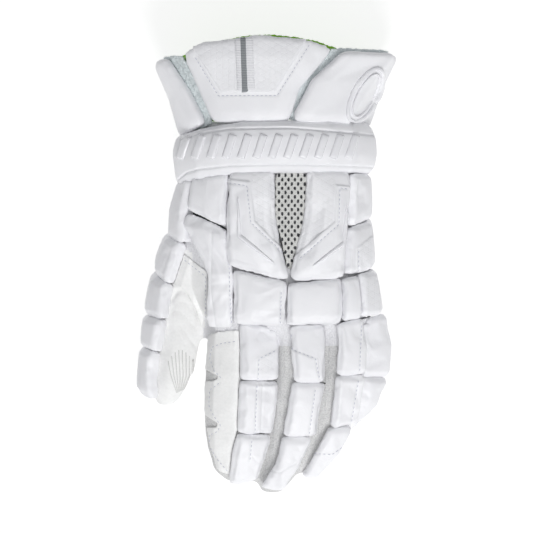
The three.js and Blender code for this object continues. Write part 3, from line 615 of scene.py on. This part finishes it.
# Lines of the drawing. The first word says what a line is: "sewn" has stitches, "fold" has none, and
# "roll" is the deep line beside a rolled edge.
LINE_DEPTHS = {"sewn": 0.5 * MM, "fold": 0.5 * MM, "roll": 1.1 * MM}
LINES = [
    ("sewn", ["cuff_center_pad"], [(196, 60), (219, 98), (277, 98), (309, 48)]),
    ("sewn", ["back_pad_thumb"], [(229, 184), (247, 187), (251, 223), (286, 256)]),
    ("sewn", ["back_pad_little"], [(347, 190), (339, 189), (338, 225), (299, 259)]),
    ("sewn", ["index_pad_1"], [(276, 350), (259, 358), (258, 380)]),
    ("sewn", ["index_pad_2"], [(257, 384), (255, 435)]),
    ("fold", ["index_pad_2"], [(263, 384), (261, 435)]),
    ("sewn", ["index_pad_3"], [(252, 439), (250, 460)]),
    ("fold", ["index_pad_3"], [(253, 456), (258, 463), (264, 463)]),
    ("sewn", ["middle_pad_1"], [(291, 333), (292, 349), (315, 358), (319, 378)]),
    ("sewn", ["middle_pad_2"], [(315, 388), (309, 434)]),
    ("fold", ["middle_pad_3"], [(269, 470), (280, 472), (297, 461)]),
    ("sewn", ["ring_pad_1"], [(361, 324), (359, 371)]),
    ("sewn", ["ring_pad_2"], [(358, 379), (351, 422)]),
    ("sewn", ["ring_pad_3"], [(313, 453), (332, 454), (346, 444)]),
    ("sewn", ["knuckle_pad_thumb"], [(281, 291), (280, 324)]),
    ("sewn", ["knuckle_side_pad"], [(358, 280), (361, 312)]),
    ("sewn", ["little_side_pad_lower"], [(358, 250), (358, 273)]),
    ("sewn", ["thumb_side_pad_lower"], [(229, 240), (230, 290), (232, 328)]),
    ("roll", ["wrist_band"], [(182, 141), (200, 135), (230, 130.5), (290, 129.5), (372, 136)]),
    ("roll", ["wrist_band"], [(176, 182), (186, 174), (200, 170), (230, 167), (290, 166), (376, 168)]),
    ("fold", ["thumb_side_pad_lower"], [(212, 232), (211, 290), (216, 330)]),
]


def measured(line):
    """The points of a line, and how far along it each lies."""
    flat = on_drawing(line)
    lengths = np.linalg.norm(np.diff(flat, axis=0), axis=1)
    return flat, np.concatenate([[0], np.cumsum(lengths)])


def point_at(flat, reach, stop):
    """Where one or more stops lie on a measured line."""
    return np.stack([np.interp(stop, reach, flat[:, k]) for k in (0, 1)], -1)


def sample_line(line, pitch):
    """Points along a line at an even pitch, with the direction at each."""
    flat, reach = measured(line)
    count = max(int(round(reach[-1] / pitch)), 2)
    stops = (np.arange(count) + 0.5) * reach[-1] / count
    fore = point_at(flat, reach, np.minimum(stops + pitch / 2, reach[-1]))
    ahead = fore - point_at(flat, reach, np.maximum(stops - pitch / 2, 0))
    return point_at(flat, reach, stops), ahead / np.linalg.norm(ahead, axis=1)[:, None]


def sew(bm, tree, line):
    """Lays stitches along a line of the drawing."""
    for (x, y), ahead in zip(*sample_line(line, STITCH_PITCH)):
        place, normal = drop(tree, x, y)
        if place is None:
            continue
        along = Vector((*ahead, 0)) - normal * normal.dot(Vector((*ahead, 0)))
        turn = along.to_track_quat("X", "Z").to_matrix().to_4x4()
        size = Matrix.Diagonal((STITCH_LENGTH / 2, THREAD_WIDTH / 2, THREAD_WIDTH / 2, 1))
        matrix = Matrix.Translation(place + normal * THREAD_WIDTH * 0.2) @ turn @ size
        bmesh.ops.create_icosphere(bm, subdivisions=1, radius=1, matrix=matrix)


for kind, names, line in LINES:
    for name in names:
        press_line(pads[name], line, 1.3 * MM, LINE_DEPTHS[kind])
bm = bmesh.new()
for kind, names, line in LINES:
    if kind == "sewn":
        sew(bm, tree_of(*(pads[name] for name in names)), line)
shade_smooth(bm)
finish_piece(new_piece("stitching", bm), THREAD)


# Slim strips laid on the pads
STRIP_LOOK = 2 * MM  # a strip takes its direction over this much to each side
STRIP_SINK = 0.25 * MM  # its edges lie this deep
STRIP_WALL = 0.5 * MM


def lay_strip(bm, tree, line, widths, height, rim=4):
    """Lays a crowned strip along a line of the drawing. The widths are drawing steps at even stops."""
    flat, reach = measured(line)
    rows = max(int(reach[-1] / MM), 3)
    made = bmesh.ops.create_grid(bm, x_segments=6, y_segments=rows, size=1)
    for vertex in made["verts"]:
        a, b = vertex.co.x, (vertex.co.y + 1) / 2
        stop = b * reach[-1]
        fore = point_at(flat, reach, min(stop + STRIP_LOOK, reach[-1]))
        ahead = fore - point_at(flat, reach, max(stop - STRIP_LOOK, 0))
        ahead = ahead / np.linalg.norm(ahead)
        width = np.interp(b, np.linspace(0, 1, len(widths)), widths) * DRAWING_STEP
        x, y = point_at(flat, reach, stop) + np.array([ahead[1], -ahead[0]]) * a * width / 2
        place, normal = drop(tree, x, y)
        if place is None:
            vertex.tag = True
            continue
        crown = (1 - abs(a) ** rim) * (1 - abs(2 * b - 1) ** 24)
        vertex.co = place + normal * (height * crown - STRIP_SINK * (1 - crown))
    bmesh.ops.delete(bm, geom=[v for v in made["verts"] if v.tag], context="VERTS")


def strips_piece(name, strips, tree, height, material, rim=4, nodes=()):
    """Makes one piece of several strips, each a line with its widths."""
    bm = bmesh.new()
    for line, widths in strips:
        lay_strip(bm, tree, line, widths, height, rim)
    bmesh.ops.recalc_face_normals(bm, faces=bm.faces)
    shade_smooth(bm)
    piece = new_piece(name, bm)
    apply_modifier(piece, "SOLIDIFY", thickness=STRIP_WALL, offset=-1)
    return finish_piece(piece, material, nodes)


cuff_top = tree_of(pads["cuff_center_pad"])
strips_piece(
    "cuff_tape_cloth",
    [([(244, 39), (246.5, 94)], [20, 20])],
    cuff_top,
    0.5 * MM,
    TAPE,
    20,
    ["cuff_tape"],
)
strips_piece(
    "cuff_stripe_cloth",
    [([(243.3, 38), (245.3, 95)], [6.5, 7])],
    cuff_top,
    0.9 * MM,
    STRIPE,
    20,
    ["cuff_stripe"],
)
back_top = tree_of(pads["back_pad_thumb"], pads["back_pad_little"])
strips_piece(
    "back_accents",
    [
        ([(238.5, 197), (239.5, 236), (274, 263)], [0.5, 2.5, 5, 5, 3.5, 0.5]),
        ([(345.5, 203), (343.5, 243), (312, 266)], [0.5, 2.5, 5, 5, 3.5, 0.5]),
    ],
    back_top,
    1.6 * MM,
    RUBBER,
    2,
)
# Slanted grip ribs stand on the band.
band_top = tree_of(pads["wrist_band"])
RIB_COUNT = 12
RIB_PITCH = 15.2
RIB_WIDTHS = [8.5, 8.5]
ribs = []
for shift in np.arange(RIB_COUNT) * RIB_PITCH:
    ribs.append(([(188 + shift, 136), (180 + shift, 160)], RIB_WIDTHS))
strips_piece("band_ribs", ribs, band_top, 1.3 * MM, RUBBER, 14)
# A plain oval badge stands on the little finger's side of the cuff: a ring round a low field.
wing_top = tree_of(pads["little_wing"])
BADGE_MIDDLE = (364.8, 97)
BADGE_TILT = 29
badge = [
    (oval(BADGE_MIDDLE, 12.6, 29, BADGE_TILT), [4, 4]),
    (oval(BADGE_MIDDLE, 8.2, 23.5, BADGE_TILT), [1.3, 1.3]),
]
strips_piece("wing_badge_ring", badge, wing_top, 1.5 * MM, RUBBER, 6, ["wing_badge"])

for name, pad in pads.items():
    finish_piece(pad, LEATHER, [name] + PADS[name])

# Areas with an embossed finish, as outlines in the drawing
EMBOSSED_AREAS = [
    ("cuff_center_pad", CUFF_INSET),
    ("back_pad_thumb", [(250, 170), (256, 222), (290, 257), (300, 240), (280, 170)]),
    ("back_pad_little", [(335, 170), (334, 222), (288, 262), (280, 240), (300, 170)]),
    ("little_side_pad_lower", SIDE_PANEL),
    ("knuckle_side_pad", KNUCKLE_PANEL),
    ("index_pad_1", INDEX_PANEL),
]
for name, outline in EMBOSSED_AREAS:
    finish_area(pads[name], outline, EMBOSSED)

# The net of the window is a sheet with staggered oval holes, over a darker backing. The backing's dark
# colour is painted shade, for the shadow deep in the holes.
WINDOW = [
    (274, 174),
    (307, 174),
    (306.5, 215),
    (300, 237),
    (292, 256),
    (289.5, 278),
    (287.5, 262),
    (282, 237),
    (275.5, 213),
]
# The pitch of its holes and half their size, across and along, in steps of the drawing
HOLE_PITCH = (6.2, 8.4)
HOLE_SIZE = (0.8, 1.45)
NET_LIFT = 1.0 * MM
NET_MARGIN = 1.0 * MM


def make_net():
    """Makes the window's backing, dark with painted shade, and lays the net over it."""
    backing = remeshed("window_painted_shade", ["mesh_window"], 1.0 * MM, 3)
    tree = tree_of(backing)
    finish_piece(backing, SHADE, ["mesh_window"])
    bm = bmesh.new()
    bmesh.ops.create_grid(bm, x_segments=80, y_segments=240, size=1)
    flat = np.array([v.co[:2] for v in bm.verts])
    low, high = np.min(WINDOW, axis=0), np.max(WINDOW, axis=0)
    drawing = low + (flat * (1, -1) + 1) / 2 * (high - low)
    for vertex, spot in zip(bm.verts, drawing):
        x, y = on_drawing(spot)
        vertex.co = (x, y, 0)
        for stagger in (0, 0.5):
            u, v = spot / HOLE_PITCH - stagger
            across = (u - round(u)) * HOLE_PITCH[0] / HOLE_SIZE[0]
            along = (v - round(v)) * HOLE_PITCH[1] / HOLE_SIZE[1]
            vertex.tag |= bool(across**2 + along**2 < 1)
    depth = inner_depth(on_drawing(drawing), on_drawing(WINDOW))
    for vertex, inside in zip(bm.verts, depth):
        place, normal = drop(tree, *vertex.co[:2])
        vertex.tag |= bool(inside < -NET_MARGIN) or place is None
        if place is not None:
            vertex.co = place + normal * NET_LIFT
    bmesh.ops.delete(bm, geom=[v for v in bm.verts if v.tag], context="VERTS")
    axes = {"use_axis_x": True, "use_axis_y": True, "use_axis_z": True}
    for _ in range(2):
        bmesh.ops.smooth_vert(bm, verts=bm.verts, factor=0.5, **axes)
    shade_smooth(bm)
    bmesh.ops.recalc_face_normals(bm, faces=bm.faces)
    net = new_piece("window_net", bm)
    apply_modifier(net, "SOLIDIFY", thickness=0.7 * MM, offset=0)
    finish_piece(net, NET)


make_net()

# Folds in the leather of the thumb, where it tucks under its patch and where it bends
THUMB_FOLDS = [
    ([(171, 300), (176, 292), (181, 290.5), (186, 292), (192, 299), (197, 311), (200, 322)], 1.4),
    ([(183, 301), (188, 304), (191, 309)], 1.0),
    ([(172, 311), (180, 312), (188, 319), (193, 326)], 0.8),
    ([(168, 324), (176, 330), (185, 344)], 0.7),
    ([(180, 326), (190, 338), (196, 347)], 0.8),
]
for line, depth in THUMB_FOLDS:
    press_line(skin, line, 2.4 * MM, depth * MM)

skin_top = tree_of(skin)
# Painted shade: dark strips laid in the gaps and creases between the pads, where shadow falls, as lines
# with their widths.
PAINTED_GAP_SHADE = [
    ([(188, 211), (209, 221), (231, 232)], [1, 3.6, 3.6, 1.5]),
    ([(347, 231), (360, 225), (373, 217)], [1.5, 3.2, 3.2, 2.5]),
    ([(341, 281), (358, 277), (376, 271)], [1, 3, 3.6, 3]),
    ([(327, 323), (355, 320), (382, 313)], [0.5, 1.6, 2.4, 2.4]),
    ([(150, 273), (169, 283)], [3, 2]),
    ([(142, 317), (162, 321)], [3, 2]),
    ([(141, 353), (155, 356)], [3, 2]),
    ([(241, 381), (277, 381.5)], [1.5, 1.5]),
    ([(326, 383), (294, 382)], [1.5, 1.5]),
]
strips_piece("gap_painted_shade", PAINTED_GAP_SHADE, skin_top, 0.5 * MM, SHADE, 8)

# The grip on the thumb's palm side is printed in thin curved lines.
GRIP_LINES = 8
grip = []
for share in np.linspace(0, 1, GRIP_LINES):
    top = (168 + 25 * share, 360 - 11 * math.sin(math.pi * share))
    bulge = (171 + 21 * share, 376)
    grip.append(([top, bulge, (177 + 6 * share, 394 - 3 * share)], [1.2, 1.2]))
strips_piece("thumb_grip", grip, skin_top, 0.3 * MM, PRINT, 8)

# Thin pieces follow their nodes.
THIN = {
    "index_side_panel": ("suede", SUEDE),
    "thumb_patch": ("suede", SUEDE),
    "cuff_lining": ("lime_lining", LIME),
    "thumb_wing_fleece": ("fleece", FLEECE),
    "little_wing_fleece": ("fleece", FLEECE),
}
skin_tree = KDTree(len(skin_before))
for number, point in enumerate(skin_before):
    skin_tree.insert(point, number)
skin_tree.balance()


def follow_skin(piece):
    """Moves a thin piece as the skin under it was moved."""
    points = places(piece)
    moves = [np.mean([skin_moves[n] for _, n, _ in skin_tree.find_n(p, 12)], axis=0) for p in points]
    move_to(piece, points + np.array(moves))


thin = {}
for name, (slot, material) in THIN.items():
    thin[name] = remeshed(name + "_cloth", [name], THIN_VOXEL, 8 if material == SUEDE else 4)
    if material == SUEDE:
        follow_skin(thin[name])
    if material in (FLEECE, LIME):
        crumple(thin[name], 2.2 * MM, 0.7 * MM)
        nap(thin[name], 9000, 1.5 * MM, slot, material)
    finish_piece(thin[name], material, [name])

# Stitches of the suede pieces
SUEDE_LINES = [
    ("index_side_panel", [(236, 341), (222, 343), (212, 347), (210, 358), (214, 370), (222, 378)]),
    ("index_side_panel", [(220, 382), (210, 390), (209, 405), (214, 416), (220.5, 424), (218, 431)]),
    ("index_side_panel", [(218, 431), (209.5, 435), (209.5, 446), (217, 459), (228, 472)]),
    ("thumb_patch", [(180.5, 257), (206, 276.5), (206, 328)]),
]
bm = bmesh.new()
for name, line in SUEDE_LINES:
    press_line(thin[name], line, 1.2 * MM, 0.25 * MM)
    sew(bm, tree_of(thin[name]), line)
shade_smooth(bm)
finish_piece(new_piece("suede_stitching", bm), THREAD)

# The stage
bm = bmesh.new()
bmesh.ops.create_grid(bm, x_segments=1, y_segments=1, size=3)
floor = new_piece("floor", bm)
floor_material, floor_surface, _ = new_material("floor_acrylic_backlit")
floor_surface.inputs["Base Color"].default_value = linear("#A0A0A0")
floor_surface.inputs["Roughness"].default_value = 0.9
floor_surface.inputs["Emission Color"].default_value = linear("#FFFFFF")
floor_surface.inputs["Emission Strength"].default_value = 0.78
floor.data.materials.append(floor_material)


def add_light(name, place, target, size, power):
    """Adds a round soft light that looks at a target."""
    data = bpy.data.lights.new(name, "AREA")
    data.shape = "DISK"
    data.size = size
    data.energy = power
    lamp = bpy.data.objects.new(name, data)
    lamp.location = place
    lamp.rotation_euler = (Vector(target) - Vector(place)).to_track_quat("-Z", "Y").to_euler()
    bpy.context.scene.collection.objects.link(lamp)


add_light("top_light", (0, 0, 1.7), (0, 0, 0), 1.6, 6.3)
add_light("key_light", (0.2, -0.95, 1.15), (0, -0.05, 0), 0.6, 11.5)
world = bpy.data.worlds.new("studio")
bpy.context.scene.world = world
world.use_nodes = True
world.node_tree.nodes["Background"].inputs["Color"].default_value = linear("#F4F6FA")
world.node_tree.nodes["Background"].inputs["Strength"].default_value = 0.26

bpy.context.scene.view_settings.view_transform = "Standard"

CAMERA_HEIGHT = 3.0
FOCUS_HEIGHT = 0.03  # the drawing's scale holds at this height
SENSOR_WIDTH = 36
FRAME_WIDTH = DRAWING_SIZE * DRAWING_STEP
camera_data = bpy.data.cameras.new("camera")
camera_data.sensor_width = SENSOR_WIDTH
camera_data.lens = SENSOR_WIDTH * (CAMERA_HEIGHT - FOCUS_HEIGHT) / FRAME_WIDTH
camera_data.clip_end = 20
camera = bpy.data.objects.new("camera", camera_data)
camera.location = (*on_drawing((DRAWING_SIZE / 2, DRAWING_SIZE / 2)), CAMERA_HEIGHT)
bpy.context.scene.collection.objects.link(camera)
bpy.context.scene.camera = camera
